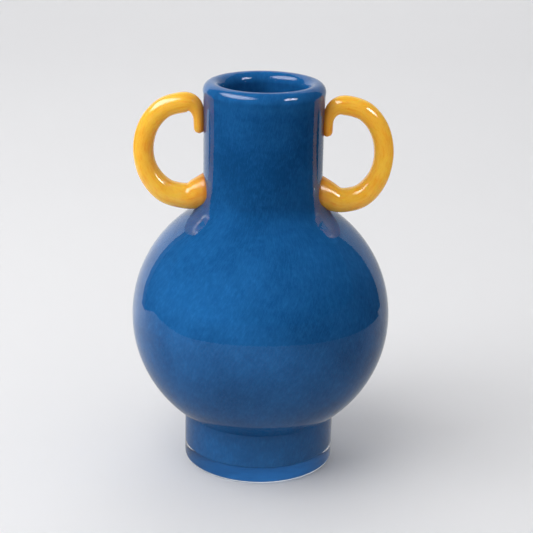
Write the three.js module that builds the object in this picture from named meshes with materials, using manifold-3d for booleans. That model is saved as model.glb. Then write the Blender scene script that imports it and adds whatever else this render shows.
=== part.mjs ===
import * as THREE from 'three';
import { mergeVertices } from 'three/addons/utils/BufferGeometryUtils.js';
import Module from 'manifold-3d';

// Two-handled amphora in cased glass, millimetres, +Z up.
// The origin is the centre of the base, on the surface that it stands on.

// Overall form of the outside
const height = 250;
const bellyR = 82.3;
const bellySquash = 0.98; // the belly's height as a share of a true ball's
const bellyZ = 99; // height of the belly's widest ring
const footR = 48.3;
const footCornerR = 3;
const neckR = 37.3;
const shoulderR = 18; // hollow of the curve from belly to neck

// Rolled lip
const lipTubeR = 5.6;
const lipBead = 0.6; // how far the lip stands out from the neck
const lipRingR = neckR + lipBead - lipTubeR;
const lipZ = height - lipTubeR;
const lipEndZ = lipZ - 2 * lipTubeR; // below it the neck's wall is straight, inside and out

// Layers of glass
const casingT = 2.5;
const liningT = 3;
const neckBoreR = 29.5;
const baseT = 10.5; // clear glass under the colour
const layerGap = 0.3;
const casingEdge = 0.6; // the clear glass thins to this where it ends inside the mouth
const liningCornerR = 2;

// Handles
const contactGap = 0.3; // between a handle's ends and the neck
const rodSides = 16;
const rodSteps = 52;
const aroundSteps = 48;

const deg = Math.PI / 180;

// Points of an arc with its own width and height, in the (radius, height) plane.
function arc(r, z, rx, rz, from, to, steps) {
  const points = [];
  for (let i = 0; i <= steps; i++) {
    const a = (from + ((to - from) * i) / steps) * deg;
    points.push(new THREE.Vector2(r + rx * Math.cos(a), z + rz * Math.sin(a)));
  }
  return points;
}

// Foot, belly, shoulder and neck of one surface, from the foot's top edge up.
// Every layer's surface is this one with its own sizes.
function bellyAndShoulder(foot, belly, neck, hollow, steps) {
  const squash = bellySquash;
  const crease = -Math.acos(foot / belly) / deg;
  const centreR = neck + hollow;
  const centreH = Math.sqrt((belly + hollow) ** 2 - centreR ** 2);
  const top = Math.atan2(centreH, centreR) / deg;
  const under = arc(0, bellyZ, belly, belly * squash, crease, 0, steps / 2);
  const over = arc(0, bellyZ, belly, belly * squash, 0, top, steps / 2);
  const curve = arc(centreR, bellyZ + centreH * squash, hollow, hollow * squash, top + 180, 180, 4);
  return [...under, ...over.slice(1), ...curve.slice(1)];
}

// LatheGeometry turns about Y, so its result is stood up on Z.
function lathe(profile) {
  return new THREE.LatheGeometry(profile, aroundSteps).rotateX(Math.PI / 2);
}

function casingGeometry() {
  const outside = [
    new THREE.Vector2(0, 0),
    ...arc(footR - footCornerR, footCornerR, footCornerR, footCornerR, -90, 0, 3),
    ...bellyAndShoulder(footR, bellyR, neckR, shoulderR, 16),
    new THREE.Vector2(neckR, lipEndZ),
    ...arc(lipRingR, lipZ, lipTubeR, lipTubeR, -15, 90, 5),
    ...arc(lipRingR, lipZ, lipTubeR, lipTubeR, 112, 200, 4),
    new THREE.Vector2(neckBoreR, lipEndZ),
  ];
  const innerTubeR = lipTubeR - casingT;
  const inside = [
    new THREE.Vector2(0, baseT),
    ...arc(footR - casingT - liningCornerR, baseT + liningCornerR, liningCornerR, liningCornerR, -90, 0, 3),
    ...bellyAndShoulder(footR - casingT, bellyR - casingT, neckR - casingT, shoulderR + casingT, 14),
    new THREE.Vector2(neckR - casingT, lipEndZ),
    ...arc(lipRingR, lipZ, innerTubeR, innerTubeR, 0, 180, 6),
    new THREE.Vector2(neckBoreR + casingEdge, lipEndZ),
  ];
  return lathe([...outside, ...inside.reverse()]);
}

function liningGeometry() {
  const skin = casingT + layerGap; // from the outside of the vase to the blue
  const floorZ = baseT + layerGap;
  const wall = skin + liningT;
  const lipInnerR = lipTubeR - skin;
  const cornerR = liningCornerR - layerGap;
  const hollowCornerR = 5;
  const outside = [
    new THREE.Vector2(0, floorZ),
    ...arc(footR - skin - cornerR, floorZ + cornerR, cornerR, cornerR, -90, 0, 3),
    ...bellyAndShoulder(footR - skin, bellyR - skin, neckR - skin, shoulderR + skin, 14),
    new THREE.Vector2(neckR - skin, lipEndZ),
    ...arc(lipRingR, lipZ, lipInnerR, lipInnerR, 0, 180, 6),
    new THREE.Vector2(neckBoreR + casingEdge + layerGap, lipEndZ - layerGap),
  ];
  const hollow = shoulderR + neckR - neckBoreR;
  const inside = [
    new THREE.Vector2(0, floorZ + liningT),
    ...arc(footR - wall - hollowCornerR, floorZ + liningT + hollowCornerR, hollowCornerR, hollowCornerR, -90, 0, 3),
    ...bellyAndShoulder(footR - wall, bellyR - wall, neckBoreR, hollow, 12),
    new THREE.Vector2(neckBoreR, lipEndZ - layerGap),
  ];
  return lathe([...outside, ...inside.reverse()]);
}

// A closed rod along a curve in the XZ plane, its thickness and its width across that plane
// given by the share of the way along.
function rodGeometry(curve, radiusAt, widthAt) {
  const frames = curve.computeFrenetFrames(rodSteps, false);
  const positions = [];
  const indices = [];
  for (let i = 0; i <= rodSteps; i++) {
    const centre = curve.getPointAt(i / rodSteps);
    const r = radiusAt(i / rodSteps);
    const widened = widthAt(i / rodSteps) / r;
    for (let j = 0; j < rodSides; j++) {
      const a = (j / rodSides) * 2 * Math.PI;
      const out = frames.normals[i].clone().multiplyScalar(r * Math.cos(a));
      out.addScaledVector(frames.binormals[i], r * Math.sin(a));
      out.y *= widened;
      positions.push(...centre.clone().add(out).toArray());
    }
  }
  const firstEnd = positions.length / 3;
  positions.push(...curve.getPointAt(0).toArray());
  positions.push(...curve.getPointAt(1).toArray());
  for (let i = 0; i < rodSteps; i++) {
    for (let j = 0; j < rodSides; j++) {
      const a = i * rodSides + j;
      const b = i * rodSides + ((j + 1) % rodSides);
      indices.push(a, b, b + rodSides, a, b + rodSides, a + rodSides);
    }
  }
  const lastRing = rodSteps * rodSides;
  for (let j = 0; j < rodSides; j++) {
    const next = (j + 1) % rodSides;
    indices.push(firstEnd, next, j);
    indices.push(firstEnd + 1, lastRing + j, lastRing + next);
  }
  const geometry = new THREE.BufferGeometry();
  geometry.setAttribute('position', new THREE.Float32BufferAttribute(positions, 3));
  geometry.setIndex(indices);
  return geometry;
}

const wasm = await Module();
wasm.setup();

function toManifold(geometry) {
  const bare = geometry.clone();
  bare.deleteAttribute('normal');
  bare.deleteAttribute('uv');
  const merged = mergeVertices(bare, 1e-4);
  const mesh = new wasm.Mesh({
    numProp: 3,
    vertProperties: new Float32Array(merged.attributes.position.array),
    triVerts: new Uint32Array(merged.index.array),
  });
  return new wasm.Manifold(mesh);
}

function fromManifold(solid) {
  const mesh = solid.getMesh();
  const geometry = new THREE.BufferGeometry();
  geometry.setAttribute('position', new THREE.BufferAttribute(mesh.vertProperties, 3));
  geometry.setIndex(new THREE.BufferAttribute(mesh.triVerts, 1));
  geometry.computeVertexNormals();
  return geometry;
}

// What a handle's ends are pressed against: the neck and shoulder with their clearance.
function seatSolid() {
  const profile = [
    new THREE.Vector2(0, bellyZ),
    ...bellyAndShoulder(footR, bellyR + contactGap, neckR + contactGap, shoulderR - contactGap, 20).filter(
      (point) => point.y > bellyZ,
    ),
    new THREE.Vector2(neckR + contactGap, height),
    new THREE.Vector2(0, height),
  ];
  return toManifold(lathe(profile));
}

// One handle, made on the +X side and turned over to the other by side = -1.
// The loop is half an oval; from its top the rod curls in and lies down along the neck.
function handleGeometry(handle, seat) {
  const loopR = handle.reach - handle.rodR - handle.loopX;
  const loop = [];
  for (const a of [-62, -30, 0, 30, 60, 90]) {
    loop.push([handle.loopX + loopR * Math.cos(a * deg), handle.loopZ + handle.loopH * Math.sin(a * deg)]);
  }
  const padZ = handle.loopZ - handle.loopH + handle.padRise;
  const tipX = neckR + contactGap + handle.tipR * handle.tipProud;
  const route = [
    [neckR - 6, padZ + 2.6],
    [neckR + 2, padZ],
    [handle.loopX - 2, handle.loopZ - handle.loopH],
    ...loop,
    [(handle.loopX + tipX) / 2 - 1.2, handle.loopZ + handle.loopH - handle.curlDrop * 0.07],
    [tipX + 0.8, handle.loopZ + handle.loopH - handle.curlDrop * 0.4],
    [tipX, handle.loopZ + handle.loopH - handle.curlDrop],
  ];
  const curve = new THREE.CatmullRomCurve3(
    route.map(([x, z]) => new THREE.Vector3(x, 0, z)),
    false,
    'centripetal',
  );
  const thickness = (share) => {
    const pad = handle.padR * Math.exp(-((share / 0.085) ** 2));
    const low = (handle.lowR - handle.rodR) * (1 - THREE.MathUtils.smoothstep(share, 0.18, 0.45));
    const curl = (handle.rodR - handle.tipR) * THREE.MathUtils.smoothstep(share, 0.8, 0.93);
    const end = Math.sqrt(Math.max(0, 1 - Math.max(0, (share - 0.975) / 0.025) ** 2));
    return Math.max(0.5, (handle.rodR + pad + low - curl) * Math.max(0.25, end));
  };
  // the soft tip was pressed against the neck and widened
  const spread = (share) =>
    thickness(share) * (1 + (handle.tipSpread - 1) * THREE.MathUtils.smoothstep(share, 0.84, 0.96));
  const rod = toManifold(rodGeometry(curve, thickness, spread)).subtract(seat);
  const pieces = rod.decompose().sort((a, b) => b.volume() - a.volume());
  const turned = handle.side < 0 ? pieces[0].mirror([1, 0, 0]) : pieces[0];
  return fromManifold(turned);
}

const leftHandle = {
  side: -1,
  reach: 81.1, // from the axis to the outside of the loop
  loopX: 49.7,
  loopZ: 206.3,
  loopH: 29.9, // half the height of the rod's centre line
  rodR: 6.5,
  lowR: 7.9,
  padR: 3.6, // how much the pad flares past the rod
  padRise: 2.3,
  curlDrop: 19.2,
  tipR: 3.6,
  tipProud: 0.65,
  tipSpread: 1.7, // how many times wider than thick
};

const rightHandle = {
  side: 1,
  reach: 81.1,
  loopX: 51.3,
  loopZ: 205.7,
  loopH: 30.3,
  rodR: 6.2,
  lowR: 7.6,
  padR: 3.3,
  padRise: 3.4,
  curlDrop: 19.8,
  tipR: 3.5,
  tipProud: 0.5,
  tipSpread: 1.7,
};

const blueGlass = new THREE.MeshStandardMaterial({ color: 0x1a58a0, roughness: 0.08, metalness: 0 });
const clearGlass = new THREE.MeshStandardMaterial({
  color: 0xdfe9ee,
  roughness: 0.04,
  metalness: 0,
  transparent: true,
  opacity: 0.3,
});
const amberGlass = new THREE.MeshStandardMaterial({ color: 0xe0a435, roughness: 0.12, metalness: 0 });

function named(name, geometry, material) {
  const mesh = new THREE.Mesh(geometry, material.clone());
  mesh.name = name;
  return mesh;
}

const seat = seatSolid();
const amphora = new THREE.Group();
amphora.add(named('blue_lining', liningGeometry(), blueGlass));
amphora.add(named('clear_casing', casingGeometry(), clearGlass));
amphora.add(named('left_handle', handleGeometry(leftHandle, seat), amberGlass));
amphora.add(named('right_handle', handleGeometry(rightHandle, seat), amberGlass));

export default amphora;
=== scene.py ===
from math import acos, atan2, cos, degrees, exp, pi, radians, sin, sqrt

import bpy
from mathutils import Matrix, Vector


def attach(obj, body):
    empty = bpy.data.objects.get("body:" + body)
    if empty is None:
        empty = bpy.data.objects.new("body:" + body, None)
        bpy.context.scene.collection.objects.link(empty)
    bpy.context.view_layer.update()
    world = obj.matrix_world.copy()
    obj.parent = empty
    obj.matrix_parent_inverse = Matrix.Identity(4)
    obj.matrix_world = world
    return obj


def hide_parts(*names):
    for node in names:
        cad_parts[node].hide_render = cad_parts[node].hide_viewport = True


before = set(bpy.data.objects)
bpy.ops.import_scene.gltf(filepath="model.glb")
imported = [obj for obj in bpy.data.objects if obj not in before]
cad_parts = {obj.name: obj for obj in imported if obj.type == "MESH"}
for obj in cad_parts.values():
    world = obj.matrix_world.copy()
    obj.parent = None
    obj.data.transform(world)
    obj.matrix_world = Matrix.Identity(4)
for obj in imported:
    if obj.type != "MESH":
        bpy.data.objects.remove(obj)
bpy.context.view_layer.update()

# Two-handled amphora in cased glass, in metres. The vase stands on z = 0, its axis is Z,
# and its handles lie along X.

vase = {
    "height": 0.25,
    "bellyRadius": 0.0823,
    "bellySquash": 0.98,        # the belly's height over its width
    "bellyZ": 0.099,
    "footRadius": 0.0483,
    "footCorner": 0.003,
    "neckRadius": 0.0373,
    "shoulderRadius": 0.018,    # the hollow curve from the belly into the neck
    "boreRadius": 0.0295,
    "casing": 0.0025,
    "lining": 0.003,
    "base": 0.0105,
    "baseBulge": 0.0062,        # how far the colour hangs down into the clear base
    "bulgePower": 2.6,          # the higher, the flatter the middle of the bulge
    "baseCorner": 0.0015,
    "floorCorner": 0.005,
    "overlap": 0.0008,          # how deep the casing's inner side lies in the blue
    "lipTube": 0.0056,
    "lipBead": 0.0006,          # how far the lip stands out from the neck
    "lipSkin": 0.0007,          # how thin the clear glass is drawn over the lip
    "lipOverlap": 0.0006,
    "liningLip": (-28, 205),    # degrees round the lip, from its outside over the top
    "casingLip": (-15, 200),
    "buriedLip": (-28, 195),
    "liningTurn": 0.002,        # how far below the lip's end the wall turns into the lip
    "buriedTurn": 0.0025,
    "casingStop": 0.0002,       # how far below the lip's end the clear glass stops in the bore
    "spinSteps": 160,
}
lipRing = vase["neckRadius"] + vase["lipBead"] - vase["lipTube"]
lipZ = vase["height"] - vase["lipTube"]
lipEndZ = lipZ - 2 * vase["lipTube"]
floorZ = vase["base"] + vase["lining"]

mergeGap = 0.000004
sharpAngle = 38


def deselectAll():
    if bpy.context.object and bpy.context.object.mode != "OBJECT":
        bpy.ops.object.mode_set(mode="OBJECT")
    bpy.ops.object.select_all(action="DESELECT")


def smoothShare(value, low, high):
    # 0 up to low, 1 from high on, and an easy slope between
    t = min(1, max(0, (value - low) / (high - low)))
    return t * t * (3 - 2 * t)


def arc(r, z, rx, rz, start, end, steps):
    # points of an arc in the (radius, height) plane, angles in degrees
    turn = [radians(start + (end - start) * i / steps) for i in range(steps + 1)]
    return [(r + rx * cos(a), z + rz * sin(a)) for a in turn]


def bellyAndShoulder(foot, belly, neck, hollow, steps=40):
    # foot's top edge, belly, shoulder and the start of the neck, for one surface of the glass
    squash = vase["bellySquash"]
    crease = -degrees(acos(foot / belly))
    centreR = neck + hollow
    centreH = sqrt((belly + hollow) ** 2 - centreR ** 2)
    centreZ = vase["bellyZ"] + centreH * squash
    top = degrees(atan2(centreH, centreR))
    ball = arc(0, vase["bellyZ"], belly, belly * squash, crease, top, steps)
    curve = arc(centreR, centreZ, hollow, hollow * squash, top + 180, 180, steps=10)
    return ball + curve[1:]


def lipCurve(tube, turn, steps):
    return arc(lipRing, lipZ, tube, tube, turn[0], turn[1], steps)


def bulgingBase(width, lift, corner, steps):
    # the bubble's underside hangs lowest in the middle of the clear base and rounds up at its rim
    bottom = vase["base"] + lift
    bulge = []
    for i in range(11):
        share = i / 10
        bulge.append((width * share, bottom - vase["baseBulge"] * (1 - share ** vase["bulgePower"])))
    return bulge + arc(width, bottom + corner, corner, corner, -90, 0, steps)[1:]


def spinOutline(name, outline, steps):
    # a closed outline drawn from one corner and spun round the axis
    deselectAll()
    bpy.ops.mesh.primitive_plane_add(size=0.001, location=(outline[0][0], 0, outline[0][1]))
    piece = bpy.context.object
    piece.name = name
    bpy.ops.object.transform_apply(location=True, rotation=True, scale=True)
    bpy.ops.object.mode_set(mode="EDIT")
    bpy.ops.mesh.select_all(action="SELECT")
    bpy.ops.mesh.merge(type="CENTER")
    for (r0, z0), (r1, z1) in zip(outline, outline[1:]):
        bpy.ops.mesh.extrude_region_move(TRANSFORM_OT_translate={"value": (r1 - r0, 0, z1 - z0)})
    bpy.ops.mesh.select_all(action="SELECT")
    bpy.ops.mesh.spin(steps=steps, angle=2 * pi, center=(0, 0, 0), axis=(0, 0, 1))
    bpy.ops.mesh.select_all(action="SELECT")
    bpy.ops.mesh.remove_doubles(threshold=mergeGap)
    bpy.ops.mesh.normals_make_consistent(inside=False)
    bpy.ops.object.mode_set(mode="OBJECT")
    bpy.ops.object.shade_smooth_by_angle(angle=radians(sharpAngle))
    return piece


def makeMaterial(name):
    material = bpy.data.materials.new(name)
    material.use_nodes = True
    return material, material.node_tree, material.node_tree.nodes["Principled BSDF"]


def feed(tree, socket, source):
    # a source is another node's socket, or a plain number, vector or colour
    if isinstance(source, bpy.types.NodeSocket):
        tree.links.new(source, socket)
    else:
        socket.default_value = source


def setInputs(tree, node, sources):
    for name, source in sources.items():
        feed(tree, node.inputs[name], source)


def workOut(tree, kind, operation, sources):
    node = tree.nodes.new(kind)
    node.operation = operation
    for socket, source in zip(node.inputs, sources):
        feed(tree, socket, source)
    return node.outputs


def mathOf(tree, operation, *sources):
    return workOut(tree, "ShaderNodeMath", operation, sources)["Value"]


def vectorOf(tree, operation, *sources):
    result = "Value" if operation == "LENGTH" else "Vector"
    return workOut(tree, "ShaderNodeVectorMath", operation, sources)[result]


def sumOf(tree, values):
    total = values[0]
    for value in values[1:]:
        total = mathOf(tree, "ADD", total, value)
    return total


def rangeOf(tree, value, low, high, top, bottom=0.0):
    # a value from low to high gives bottom to top, and stays level past both
    span = tree.nodes.new("ShaderNodeMapRange")
    setInputs(tree, span, {"Value": value, "From Min": low, "From Max": high,
                           "To Min": bottom, "To Max": top})
    return span.outputs["Result"]


def noiseOf(tree, place, scale, detail, roughness):
    noise = tree.nodes.new("ShaderNodeTexNoise")
    setInputs(tree, noise, {"Vector": place, "Scale": scale, "Detail": detail, "Roughness": roughness})
    return noise.outputs["Fac"]


def mixOf(tree, factor, first, second):
    mix = tree.nodes.new("ShaderNodeMix")
    mix.data_type = "RGBA"
    setInputs(tree, mix, {"Factor": factor, "A": first, "B": second})
    return mix.outputs["Result"]


def splitOf(tree, vector):
    split = tree.nodes.new("ShaderNodeSeparateXYZ")
    feed(tree, split.inputs["Vector"], vector)
    return split.outputs


def objectPlace(tree):
    return tree.nodes.new("ShaderNodeTexCoord").outputs["Object"]


def uvPlace(tree, name):
    unwrapped = tree.nodes.new("ShaderNodeUVMap")
    unwrapped.uv_map = name
    return unwrapped.outputs["UV"]


clearLook = {
    "ior": 1.5,
    "tint": (0.97, 0.99, 1.0, 1),
    "lampTint": (0.96, 0.98, 1.0, 1),
}


def clearGlass():
    material, tree, shader = makeMaterial("clear casing glass")
    setInputs(tree, shader, {
        "Base Color": clearLook["tint"],
        "Roughness": 0.0,
        "IOR": clearLook["ior"],
        "Transmission Weight": 1.0,
    })
    # lamps shine through onto the colour underneath
    path = tree.nodes.new("ShaderNodeLightPath")
    through = tree.nodes.new("ShaderNodeBsdfTransparent")
    through.inputs["Color"].default_value = clearLook["lampTint"]
    mix = tree.nodes.new("ShaderNodeMixShader")
    sources = (path.outputs["Is Shadow Ray"], shader.outputs["BSDF"], through.outputs["BSDF"])
    for socket, source in zip(mix.inputs, sources):
        tree.links.new(source, socket)
    tree.links.new(mix.outputs["Shader"], tree.nodes["Material Output"].inputs["Surface"])
    return material


blueLook = {
    "deep": (0.0060, 0.076, 0.226, 1),
    "pale": (0.027, 0.203, 0.520, 1),
    # radians of lean and units of pattern, both for each metre of height
    "fibreDraw": (-7.0, 3.2),
    "crossingDraw": (2.8, 4.5),
    # scale, detail and roughness of each noise
    "hairNoise": (70.0, 4.0, 0.7),
    "cloudNoise": (15.0, 5.0, 0.55),
    "grainNoise": (260.0, 3.0, 0.6),
    # from which value to which each pattern makes the colour paler, and by how much
    "fibres": (0.45, 0.8, 0.32),
    "crossing": (0.5, 0.8, 0.28),
    "grain": (0.4, 0.8, 0.2),
    "clouds": (0.32, 0.72, 0.6),
    # the same by height in metres; the neck is deeper because its glass is thicker
    "neck": (0.165, 0.205, -0.28),
    "lip": (0.234, 0.24, 0.26),
    # mouth: painted light, the inside of the vase paler towards the opening where light falls in and
    # deeper further down
    "mouth": (0.18, 0.21, 1.0),
    # daylight that comes through the wall into the vase
    "boreGlow": 0.08,
    # light gathered by the thick clear base: from and to which radius it fades
    "underGlow": 0.66,
    "underFade": (0.018, 0.039),
}


def drawnFibres(tree, place, twist, stretch):
    # fine fibres drawn out along the blow, leaning round the axis by twist
    height = splitOf(tree, place)["Z"]
    turned = tree.nodes.new("ShaderNodeVectorRotate")
    turned.rotation_type = "Z_AXIS"
    setInputs(tree, turned, {"Vector": place, "Angle": mathOf(tree, "MULTIPLY", height, twist)})
    flat = vectorOf(tree, "MULTIPLY", turned.outputs["Vector"], (1, 1, 0))
    around = vectorOf(tree, "NORMALIZE", flat)
    rise = tree.nodes.new("ShaderNodeCombineXYZ")
    feed(tree, rise.inputs["Z"], mathOf(tree, "MULTIPLY", height, stretch))
    drawn = vectorOf(tree, "ADD", around, rise.outputs["Vector"])
    return noiseOf(tree, drawn, *blueLook["hairNoise"])


def blueGlass(name, place):
    # soft clouds in the colour with fine fibres over them
    material, tree, shader = makeMaterial(name)
    coords = objectPlace(tree)
    height = splitOf(tree, coords)["Z"]
    patterns = [
        ("fibres", drawnFibres(tree, coords, *blueLook["fibreDraw"])),
        ("crossing", drawnFibres(tree, coords, *blueLook["crossingDraw"])),
        ("grain", noiseOf(tree, coords, *blueLook["grainNoise"])),
        ("clouds", noiseOf(tree, coords, *blueLook["cloudNoise"])),
        ("neck", height),
        ("lip", height),
    ]
    if place == "bore":
        # painted light: the bore paler towards the mouth
        patterns.append(("mouth", height))
    blend = sumOf(tree, [rangeOf(tree, value, *blueLook[key]) for key, value in patterns])
    colour = mixOf(tree, blend, blueLook["deep"], blueLook["pale"])
    bare = place == "bore"   # the rest lies under the clear glass and has no shine of its own
    setInputs(tree, shader, {
        "Base Color": colour,
        "Roughness": 0.06 if bare else 0.6,
        "Specular IOR Level": 0.5 if bare else 0.0,
    })
    if place == "bore":
        setInputs(tree, shader, {"Emission Color": colour, "Emission Strength": blueLook["boreGlow"]})
    if place == "underside":
        radius = vectorOf(tree, "LENGTH", vectorOf(tree, "MULTIPLY", coords, (1, 1, 0)))
        glow = rangeOf(tree, radius, *blueLook["underFade"], top=0.0, bottom=blueLook["underGlow"])
        setInputs(tree, shader, {"Emission Color": colour, "Emission Strength": glow})
    return material


def placeOnLining(face):
    # the underside over the clear base, the bore with its floor, or the wall under the casing
    middle = face.center
    if face.normal.z < -0.6 and middle.z < vase["base"] + 0.002:
        return "underside"
    facesAxis = face.normal.x * middle.x + face.normal.y * middle.y < 0
    onFloor = face.normal.z > 0.5 and middle.z < floorZ + vase["floorCorner"]
    inside = facesAxis or onFloor
    return "bore" if inside and middle.z < lipEndZ + 0.001 else "wall"


def makeLining():
    # the blue bubble, drawn up the outside, over the lip and down the bore to the floor
    skin = vase["casing"]
    wall = skin + vase["lining"]
    foot = vase["footRadius"]
    belly = vase["bellyRadius"]
    neck = vase["neckRadius"]
    corner = vase["baseCorner"]
    outline = bulgingBase(foot - skin - corner, 0, corner, steps=8)
    outline += bellyAndShoulder(foot - skin, belly - skin, neck - skin, vase["shoulderRadius"] + skin)
    outline += [(neck - skin, lipEndZ - vase["liningTurn"])]
    outline += lipCurve(vase["lipTube"] - vase["lipSkin"], vase["liningLip"], steps=24)
    corner = vase["floorCorner"]
    hollow = vase["shoulderRadius"] + neck - vase["boreRadius"]
    bore = [(0, floorZ)]
    bore += arc(foot - wall - corner, floorZ + corner, corner, corner, -90, 0, steps=6)
    bore += bellyAndShoulder(foot - wall, belly - wall, vase["boreRadius"], hollow)
    bore += [(vase["boreRadius"], lipEndZ)]
    piece = spinOutline("blueLining", outline + bore[::-1], vase["spinSteps"])
    finishes = {
        "wall": "blue under the casing",
        "bore": "blue inside the vase",
        "underside": "blue over the clear base",
    }
    for place, name in finishes.items():
        piece.data.materials.append(blueGlass(name, place))
    order = list(finishes)
    for face in piece.data.polygons:
        face.material_index = order.index(placeOnLining(face))
    return piece


def makeCasing():
    # clear glass from the base up, over the lip and a little way into the mouth;
    # its inner side lies buried in the blue, so no air shows between the two
    overlap = vase["overlap"]
    buried = vase["casing"] + overlap
    foot = vase["footRadius"]
    belly = vase["bellyRadius"]
    neck = vase["neckRadius"]
    tube = vase["lipTube"]
    bore = vase["boreRadius"]
    endZ = lipEndZ - vase["casingStop"]
    corner = vase["footCorner"]
    outline = [(0, 0)]
    outline += arc(foot - corner, corner, corner, corner, -90, 0, steps=10)
    outline += bellyAndShoulder(foot, belly, neck, vase["shoulderRadius"], steps=48)
    outline += [(neck, lipEndZ)]
    outline += lipCurve(tube, vase["casingLip"], steps=28)
    outline += [(bore, endZ)]
    corner = vase["baseCorner"]
    hollow = vase["shoulderRadius"] + buried
    inner = bulgingBase(foot - buried - corner, overlap, corner, steps=6)
    inner += bellyAndShoulder(foot - buried, belly - buried, neck - buried, hollow)
    inner += [(neck - buried, lipEndZ - vase["buriedTurn"])]
    inner += lipCurve(tube - vase["lipSkin"] - vase["lipOverlap"], vase["buriedLip"], steps=20)
    inner += [(bore + overlap, endZ)]
    piece = spinOutline("clearCasing", outline + inner[::-1], vase["spinSteps"])
    piece.data.materials.append(clearGlass())
    return piece


amberLook = {
    "golden": (0.97, 0.58, 0.07, 1),
    "honey": (0.84, 0.31, 0.018, 1),
    "burnt": (0.52, 0.15, 0.012, 1),
    "drawnOut": 0.16,   # how much a length along the rod counts beside one round it
    # scale, detail and roughness of each noise
    "streakNoise": (620.0, 5.0, 0.65),
    "patchNoise": (70.0, 3.0, 0.5),
    "threadNoise": (1500.0, 3.0, 0.6),
    "speckNoise": (900.0, 2.0, 0.6),
    "waveNoise": (110.0, 2.0, 0.5),
    # from which value to which each pattern turns gold to honey, and by how much
    "streaks": (0.48, 0.74, 0.6),
    "patches": (0.42, 0.75, 0.3),
    "threads": (0.55, 0.75, 0.5),
    "specks": (0.62, 0.8, 0.5),
    # the tool that pressed the ends down left them less glossy: nearness from and to,
    # then the value near the neck and the value away from it
    "roughEnds": (0.0, 0.5, 0.25, 0.05),
    "coatEnds": (0.0, 0.3, 0.05, 0.6),
    "depth": (0.009, 0.0035, 0.0008),
    "inner": (1.0, 0.36, 0.02, 1),   # light carried along inside the rod
    "innerGlow": 0.05,
    "waveStrength": 0.12,
    "waveHeight": 0.0006,
}


def amberGlass():
    # golden glass with fine streaks drawn along the rod, browner where the ends meet the neck
    material, tree, shader = makeMaterial("amber rod glass")
    coords = objectPlace(tree)
    drawn = tree.nodes.new("ShaderNodeMapping")
    setInputs(tree, drawn, {"Vector": uvPlace(tree, "alongRod"), "Scale": (1, amberLook["drawnOut"], 1)})
    along = drawn.outputs["Vector"]
    patterns = (
        ("streaks", along, "streakNoise"),
        ("patches", coords, "patchNoise"),
        ("threads", along, "threadNoise"),
        ("specks", coords, "speckNoise"),
    )
    shares = []
    for key, place, noise in patterns:
        shares.append(rangeOf(tree, noiseOf(tree, place, *amberLook[noise]), *amberLook[key]))
    colour = mixOf(tree, sumOf(tree, shares), amberLook["golden"], amberLook["honey"])
    ends = tree.nodes.new("ShaderNodeAttribute")
    ends.attribute_name = "nearNeck"
    near = ends.outputs["Fac"]
    waves = tree.nodes.new("ShaderNodeBump")
    setInputs(tree, waves, {
        "Strength": amberLook["waveStrength"],
        "Distance": amberLook["waveHeight"],
        "Height": noiseOf(tree, coords, *amberLook["waveNoise"]),
    })
    setInputs(tree, shader, {
        "Base Color": mixOf(tree, near, colour, amberLook["burnt"]),
        "Roughness": rangeOf(tree, near, *amberLook["roughEnds"]),
        "Coat Weight": rangeOf(tree, near, *amberLook["coatEnds"]),
        "Coat Roughness": 0.03,
        "Subsurface Weight": 0.6,
        "Subsurface Radius": amberLook["depth"],
        "Subsurface Scale": 1.0,
        "Emission Color": amberLook["inner"],
        "Emission Strength": amberLook["innerGlow"],
        "Normal": waves.outputs["Normal"],
        "Coat Normal": waves.outputs["Normal"],
    })
    return material


# each handle was shaped by hand, so each has a loop and ends of its own
leftHandle = {
    "side": -1,
    "reach": 0.0811,
    "loopX": 0.0497,
    "loopZ": 0.2063,
    "loopH": 0.0299,
    "rod": 0.0065,
    "low": 0.0079,
    "pad": 0.0036,
    "padRise": 0.0023,
    "curlDrop": 0.0192,
    "tip": 0.0036,
    "tipProud": 0.65,
    "tipSpread": 1.7,
}
rightHandle = {
    "side": 1,
    "reach": 0.0811,
    "loopX": 0.0513,
    "loopZ": 0.2057,
    "loopH": 0.0303,
    "rod": 0.0062,
    "low": 0.0076,
    "pad": 0.0033,
    "padRise": 0.0034,
    "curlDrop": 0.0198,
    "tip": 0.0035,
    "tipProud": 0.5,
    "tipSpread": 1.7,
}
# what both rods share; a part of the rod is given by shares of its length from pad to tip
rodShape = {
    "sides": 32,
    "rings": 90,
    "root": (-0.006, 0.0026),       # the start inside the neck, outwards and up from the pad
    "padOut": 0.002,
    "loopIn": 0.002,
    "loopTurns": (-62, -30, 0, 30, 60, 90),
    "curlTop": (-0.0012, 0.07),     # outwards, and the share of the curl's drop
    "curlSide": (0.0008, 0.4),
    "padLength": 0.085,
    "lowPart": (0.18, 0.45),        # where the thicker lower part thins to the loop
    "curlPart": (0.80, 0.93),
    "spreadPart": (0.84, 0.96),
    "capFrom": 0.975,
    "leastCap": 0.2,
    "leastRadius": 0.0005,
    "sharpAngle": 60,
    "lookAhead": 0.004,
}


def routePoint(points, share):
    # a smooth curve through the route's points, share 0 at the pad and 1 at the curled tip
    place = share * (len(points) - 3)
    i = min(int(place), len(points) - 4)
    t = place - i
    a, b, c, d = (Vector(p) for p in points[i:i + 4])
    bend = 2 * a - 5 * b + 4 * c - d
    swing = 3 * b - a - 3 * c + d
    return 0.5 * (2 * b + (c - a) * t + bend * t * t + swing * t ** 3)


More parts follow.
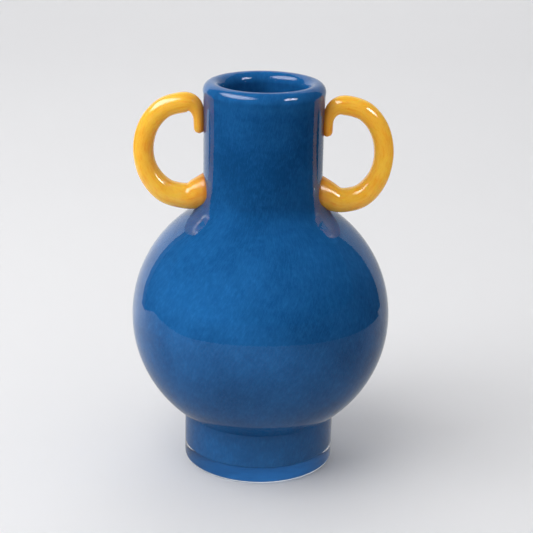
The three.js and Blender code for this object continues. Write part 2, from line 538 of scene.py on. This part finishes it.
def handleRoute(handle):
    # out from the neck at the pad, round the loop and down to the curled tip
    neck = vase["neckRadius"]
    loopX, loopZ, loopH = handle["loopX"], handle["loopZ"], handle["loopH"]
    loopR = handle["reach"] - handle["rod"] - loopX
    top = loopZ + loopH
    padZ = loopZ - loopH + handle["padRise"]
    tipX = neck + handle["tip"] * handle["tipProud"]
    drop = handle["curlDrop"]
    rootX, rootZ = rodShape["root"]
    topX, topDrop = rodShape["curlTop"]
    sideX, sideDrop = rodShape["curlSide"]
    route = [(neck + rootX, padZ + rootZ), (neck + rodShape["padOut"], padZ)]
    route.append((loopX - rodShape["loopIn"], loopZ - loopH))
    for turn in rodShape["loopTurns"]:
        route.append((loopX + loopR * cos(radians(turn)), loopZ + loopH * sin(radians(turn))))
    route.append(((loopX + tipX) / 2 + topX, top - drop * topDrop))
    route.append((tipX + sideX, top - drop * sideDrop))
    route.append((tipX, top - drop))
    # one more point past each end, which the curve needs to head the right way there
    first = (2 * route[0][0] - route[1][0], 2 * route[0][1] - route[1][1])
    last = (2 * route[-1][0] - route[-2][0], 2 * route[-1][1] - route[-2][1])
    return [first] + route + [last]


def measureRoute(route):
    # the curve's length, and a function for the point at a share of that length
    samples = 400
    fine = [routePoint(route, i / samples) for i in range(samples + 1)]
    lengths = [0]
    for p, q in zip(fine, fine[1:]):
        lengths.append(lengths[-1] + (q - p).length)

    def at(share):
        goal = share * lengths[-1]
        i = next(k for k in range(1, samples + 1) if lengths[k] >= goal - 1e-12)
        t = (goal - lengths[i - 1]) / (lengths[i] - lengths[i - 1])
        return fine[i - 1].lerp(fine[i], t)

    return at, lengths[-1]


def thickness(handle, share):
    # the rod's radius: a flared pad, a stouter lower part, a thinner curl and a rounded end
    pad = handle["pad"] * exp(-((share / rodShape["padLength"]) ** 2))
    low = (handle["low"] - handle["rod"]) * (1 - smoothShare(share, *rodShape["lowPart"]))
    curl = (handle["rod"] - handle["tip"]) * smoothShare(share, *rodShape["curlPart"])
    capShare = max(0, (share - rodShape["capFrom"]) / (1 - rodShape["capFrom"]))
    end = sqrt(max(0, 1 - capShare ** 2))
    radius = (handle["rod"] + pad + low - curl) * max(rodShape["leastCap"], end)
    return max(rodShape["leastRadius"], radius)


def spread(handle, share):
    # the soft tip was pressed against the neck and widened
    widened = (handle["tipSpread"] - 1) * smoothShare(share, *rodShape["spreadPart"])
    return thickness(handle, share) * (1 + widened)


def unwrapRod(piece, length, girth):
    # u runs round the rod and v along it, in metres, from the order in which the rings were drawn
    sides = rodShape["sides"]
    layer = piece.data.uv_layers.new(name="alongRod")
    for face in piece.data.polygons:
        corners = [(loop, piece.data.loops[loop].vertex_index) for loop in face.loop_indices]
        turns = [vertex % sides for loop, vertex in corners]
        wraps = max(turns) - min(turns) > sides / 2
        for loop, vertex in corners:
            turn = vertex % sides
            if wraps and turn < sides / 2:
                turn += sides
            layer.data[loop].uv = (turn / sides * girth, vertex // sides / rodShape["rings"] * length)


def markNearNeck(piece):
    # how close each point is to the neck: a scorched rim round both ends and a wider warmth
    rim = (0.35, 0.0022)
    warmth = (0.5, 0.012)
    near = piece.data.attributes.new("nearNeck", "FLOAT", "POINT")
    for vertex in piece.data.vertices:
        gap = sqrt(vertex.co.x ** 2 + vertex.co.y ** 2) - vase["neckRadius"]
        shares = [share * (1 - smoothShare(gap, 0.0, reach)) for share, reach in (rim, warmth)]
        near.data[vertex.index].value = sum(shares)


def makeHandle(name, handle, glass):
    # a disc at the pad, drawn out ring by ring along the route
    at, length = measureRoute(handleRoute(handle))
    look = rodShape["lookAhead"]
    start = at(0)
    heading = (at(0.01) - start).normalized()
    turn = atan2(heading.x, heading.y)
    deselectAll()
    bpy.ops.mesh.primitive_circle_add(vertices=rodShape["sides"], radius=thickness(handle, 0),
                                      fill_type="NGON", location=(0, 0, 0))
    piece = bpy.context.object
    piece.name = name
    piece.rotation_euler = (0, turn, 0)
    piece.location = (start.x, 0, start.y)
    bpy.ops.object.transform_apply(location=True, rotation=True, scale=True)
    bpy.ops.object.mode_set(mode="EDIT")
    bpy.ops.mesh.select_all(action="SELECT")
    shares = [i / rodShape["rings"] for i in range(rodShape["rings"] + 1)]
    for before, now in zip(shares, shares[1:]):
        p = at(before)
        q = at(now)
        ahead = at(min(1, now + look)) - at(max(0, now - look))
        newTurn = atan2(ahead.x, ahead.y)
        step = (newTurn - turn + pi) % (2 * pi) - pi
        turn = newTurn
        grow = thickness(handle, now) / thickness(handle, before)
        widen = spread(handle, now) / spread(handle, before)
        centre = (q.x, 0, q.y)
        bpy.ops.mesh.extrude_region_move(TRANSFORM_OT_translate={"value": (q.x - p.x, 0, q.y - p.y)})
        bpy.ops.transform.rotate(value=-step, orient_axis="Y", center_override=centre)
        bpy.ops.transform.resize(value=(grow, widen, grow), center_override=centre)
    bpy.ops.mesh.select_all(action="SELECT")
    if handle["side"] < 0:
        bpy.ops.transform.resize(value=(-1, 1, 1), center_override=(0, 0, 0))
    bpy.ops.mesh.normals_make_consistent(inside=False)
    bpy.ops.object.mode_set(mode="OBJECT")
    unwrapRod(piece, length, 2 * pi * handle["rod"])
    markNearNeck(piece)
    bpy.ops.object.shade_smooth_by_angle(angle=radians(rodShape["sharpAngle"]))
    piece.data.materials.append(glass)
    return piece


# the turns are degrees from the front, anticlockwise from above, and the rises degrees above level
studio = {
    "paperColour": (0.80, 0.80, 0.81, 1),
    "bowlRadius": 2.6,
    "bowlBend": 1.2,
    "bowlHeight": 3.4,
    "bowlDrop": 0.0003,        # how far the paper lies under the vase
    "airColour": (0.61, 0.61, 0.61, 1),
    "mirroredAir": (0.03, 0.03, 0.03, 1),
    "tableZ": -0.0002,
    "cardRadius": 0.36,
    "cardFront": 0.069,
    "cardBack": 0.033,
    "cardPower": 4.6,          # how soon the turned-up edge gets lower towards the back
    "cardEnds": (-110, 120),
    "cardSteps": 54,
    "cardLift": 0.043,         # how much higher the table's edge turns up at the left end
    "liftUp": (50, 106),
    "liftDown": (96, 110),
    "wallRadius": 0.62,
    "wallHeight": 1.0,
    "wallFrom": -124.5,
    "wallTo": 126.5,
    "wallLean": (19, 8),       # degrees each end of the wall leans back by its top
    "shadeWidth": 7,
    "glow": 0.34,
    "wallGlow": 0.85,
    "shadeGlow": 0.12,
    # how the glow changes from left to right and from front to back, in metres and shares
    "glowAcross": {"low": -0.3, "high": 0.3, "top": 0.58, "bottom": 1.1},
    "glowBack": {"low": -0.04, "high": 0.25},
    "domeRadius": 1.3,
    "domeZ": 0.22,
    "panels": {
        "softbox": {"turn": (-118, -12), "rise": (24, 68), "glow": 7.0},
        "window": {"turn": (37, 71), "rise": (20, 42), "glow": 13.0},
    },
    # level with the neck's foot, and short enough to leave the handles free
    "flag": {"half": 0.35, "front": -0.4, "back": -0.02, "z": 0.178},
    "lamps": {
        "left lamp": {"at": (-1.419, -0.819, 1.147), "size": 1.2, "power": 11.0},
        "high left lamp": {"at": (-1.286, 0.0, 1.532), "size": 1.2, "power": 5.8},
        "front lamp": {"at": (-0.5, -0.8, 1.9), "size": 1.2, "power": 8.2},
        "back lamp": {"at": (0.0, 1.556, 1.556), "size": 1.8, "power": 8.7},
    },
    "lampAim": (0, 0, 0.1),
}


def plainMaterial(name, colour, roughness):
    material, tree, shader = makeMaterial(name)
    setInputs(tree, shader, {"Base Color": colour, "Roughness": roughness, "Specular IOR Level": 0.1})
    return material


def litMaterial(name):
    # gives white light and mirrors nothing
    material, tree, shader = makeMaterial(name)
    setInputs(tree, shader, {
        "Base Color": (0, 0, 0, 1),
        "Specular IOR Level": 0,
        "Emission Color": (1, 1, 1, 1),
    })
    return material, tree, shader


def glowMaterial(name, front, back):
    # brighter on the left, and from one strength at the front to another behind the vase
    material, tree, shader = litMaterial(name)
    place = splitOf(tree, objectPlace(tree))
    across = rangeOf(tree, place["X"], **studio["glowAcross"])
    deep = rangeOf(tree, place["Y"], **studio["glowBack"], top=back, bottom=front)
    feed(tree, shader.inputs["Emission Strength"], mathOf(tree, "MULTIPLY", across, deep))
    return material


def softLight(name, strength):
    # a lit panel that fades towards its own edges, by its UV map
    material, tree, shader = litMaterial(name)
    fromMiddle = vectorOf(tree, "SUBTRACT", uvPlace(tree, "panel"), (0.5, 0.5, 0))
    fade = rangeOf(tree, vectorOf(tree, "LENGTH", fromMiddle), 0.5, 0.3, strength)
    feed(tree, shader.inputs["Emission Strength"], fade)
    return material


def sheetOf(name, rows, material):
    # a sheet through rows of points, with a UV map over the whole of it
    mesh = bpy.data.meshes.new(name)
    wide = len(rows[0])
    tall = len(rows)
    faces = []
    for j in range(tall - 1):
        for i in range(wide - 1):
            corner = j * wide + i
            faces.append([corner, corner + 1, corner + wide + 1, corner + wide])
    mesh.from_pydata([p for row in rows for p in row], [], faces)
    layer = mesh.uv_layers.new(name="panel")
    for loop in mesh.loops:
        j, i = divmod(loop.vertex_index, wide)
        layer.data[loop.index].uv = (i / (wide - 1), j / (tall - 1))
    piece = bpy.data.objects.new(name, mesh)
    bpy.context.collection.objects.link(piece)
    piece.data.materials.append(material)
    return piece


def domePatch(turn, rise, across=16, up=8):
    # rows of points on a dome round the vase
    radius = studio["domeRadius"]
    rows = []
    for j in range(up + 1):
        lift = radians(rise[0] + (rise[1] - rise[0]) * j / up)
        row = []
        for i in range(across + 1):
            way = radians(turn[0] + (turn[1] - turn[0]) * i / across)
            x = radius * cos(lift) * sin(way)
            y = -radius * cos(lift) * cos(way)
            row.append((x, y, studio["domeZ"] + radius * sin(lift)))
        rows.append(row)
    return rows


def ringPart(radius, height, start, end, steps):
    turns = [radians(start + (end - start) * i / steps) for i in range(steps + 1)]
    return [(radius * sin(a), -radius * cos(a), height) for a in turns]


def tableFan(name, rim, material):
    # a flat sheet from the middle of the table out to a rim
    return sheetOf(name, [[(0, 0, studio["tableZ"])] * len(rim), rim], material)


def cardTops(rim):
    # the upper edge of the table's turned-up rim, low at the back and lifted at its left end
    start, end = studio["cardEnds"]
    rise = studio["cardFront"] - studio["cardBack"]
    tops = []
    for i, (x, y, z) in enumerate(rim):
        turn = start + (end - start) * i / studio["cardSteps"]
        lifted = smoothShare(-turn, *studio["liftUp"]) - 0.5 * smoothShare(-turn, *studio["liftDown"])
        front = rise * cos(radians(turn) / 2) ** studio["cardPower"]
        tops.append((x, y, studio["cardBack"] + front + studio["cardLift"] * lifted))
    return tops


def makeMirrored():
    # what only the glass mirrors: a table with its near edge turned up, a paper wall behind it,
    # two soft panels above, and a dark flag that keeps them off the belly
    table = glowMaterial("lit table", studio["glow"], studio["wallGlow"])
    paper = glowMaterial("lit wall", studio["wallGlow"], studio["wallGlow"])
    dim = glowMaterial("wall in shade", studio["shadeGlow"], studio["shadeGlow"])
    dark = plainMaterial("black flag", (0.002, 0.002, 0.002, 1), 1.0)
    start, end = studio["cardEnds"]
    tableZ = studio["tableZ"]
    far = studio["wallRadius"]
    rim = ringPart(studio["cardRadius"], tableZ, start, end, studio["cardSteps"])
    sheets = [
        tableFan("table round the vase", rim, table),
        sheetOf("turned-up edge", [rim, cardTops(rim)], table),
        tableFan("table behind", ringPart(far, tableZ, end, 360 + start, steps=18), table),
    ]
    # the wall runs round the back, from its right end to its left one
    top = studio["wallHeight"]
    left = 360 + studio["wallFrom"]
    right = studio["wallTo"]
    shade = studio["shadeWidth"]
    leanLeft, leanRight = studio["wallLean"]
    lower = ringPart(far, tableZ, right, left, steps=24)
    upper = ringPart(far, top, right + leanRight, left - leanLeft, steps=24)
    sheets.append(sheetOf("back paper", [lower, upper], paper))
    lower = ringPart(far, 0, left, left + shade, steps=4)
    upper = ringPart(far, top, left - leanLeft, left + shade - leanLeft, steps=4)
    sheets.append(sheetOf("paper in shade", [lower, upper], dim))
    for name, panel in studio["panels"].items():
        rows = domePatch(panel["turn"], panel["rise"])
        sheets.append(sheetOf(name, rows, softLight(name, panel["glow"])))
    flag = studio["flag"]
    edges = []
    for y in (flag["front"], flag["back"]):
        edges.append([(-flag["half"], y, flag["z"]), (flag["half"], y, flag["z"])])
    sheets.append(sheetOf("black flag", edges, dark))
    for sheet in sheets:
        sheet.visible_camera = False
        sheet.visible_diffuse = False
        sheet.visible_transmission = False
        sheet.visible_shadow = False
    return sheets


def makeBowl():
    # a wide bowl of paper that glass doesn't mirror
    radius = studio["bowlRadius"]
    bend = studio["bowlBend"]
    drop = studio["bowlDrop"]
    outline = [(0, -drop), (radius - bend, -drop)]
    outline += arc(radius - bend, bend, bend, bend + drop, -90, 0, steps=16)
    outline += [(radius, studio["bowlHeight"])]
    bowl = spinOutline("paper bowl", outline, 64)
    bowl.data.materials.append(plainMaterial("studio paper", studio["paperColour"], 0.9))
    bowl.visible_glossy = False
    return bowl


def makeLamps():
    lamps = []
    for name, lamp in studio["lamps"].items():
        light = bpy.data.lights.new(name, "AREA")
        light.shape = "DISK"
        light.size = lamp["size"]
        light.energy = lamp["power"]
        stand = bpy.data.objects.new(name, light)
        bpy.context.collection.objects.link(stand)
        stand.location = lamp["at"]
        towards = Vector(studio["lampAim"]) - stand.location
        stand.rotation_euler = towards.to_track_quat("-Z", "Y").to_euler()
        stand.visible_glossy = False
        stand.visible_camera = False
        lamps.append(stand)
    return lamps


def makeAir():
    # even light from all round, which the glass mirrors as a dark room
    world = bpy.data.worlds.new("studio air")
    bpy.context.scene.world = world
    world.use_nodes = True
    tree = world.node_tree
    path = tree.nodes.new("ShaderNodeLightPath")
    shade = mixOf(tree, path.outputs["Is Glossy Ray"], studio["airColour"], studio["mirroredAir"])
    feed(tree, tree.nodes["Background"].inputs["Color"], shade)


def makeStudio():
    bowl = makeBowl()
    mirrored = makeMirrored()
    lamps = makeLamps()
    makeAir()


cameraAim = {
    "distance": 0.8991,
    "height": 0.4411,
    "down": 0.3328,
    "yaw": 0.0037,
    "roll": 0.0193,
    "lens": 100.72,
    "sensor": 36,
}


def placeCamera():
    data = bpy.data.cameras.new("camera")
    data.lens = cameraAim["lens"]
    data.sensor_width = cameraAim["sensor"]
    camera = bpy.data.objects.new("camera", data)
    bpy.context.collection.objects.link(camera)
    turn = Matrix.Rotation(-cameraAim["yaw"], 4, "Z")
    turn = turn @ Matrix.Rotation(pi / 2 - cameraAim["down"], 4, "X")
    turn = turn @ Matrix.Rotation(cameraAim["roll"], 4, "Z")
    camera.matrix_world = Matrix.Translation((0, -cameraAim["distance"], cameraAim["height"])) @ turn
    bpy.context.scene.camera = camera


bpy.context.scene.view_settings.view_transform = "Standard"
placeCamera()
makeStudio()
print("studio and camera placed")

lining = makeLining()
casing = makeCasing()
print("blue lining and clear casing spun")

amber = amberGlass()
left = makeHandle("leftHandle", leftHandle, amber)
right = makeHandle("rightHandle", rightHandle, amber)
print("handles drawn")

for piece, node, glass in (
    (lining, "blue_lining", "blue_glass"),
    (casing, "clear_casing", "clear_glass"),
    (left, "left_handle", "amber_glass"),
    (right, "right_handle", "amber_glass"),
):
    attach(piece, "root")
    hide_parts(node)
print("pieces placed on the frame")

bpy.context.view_layer.update()
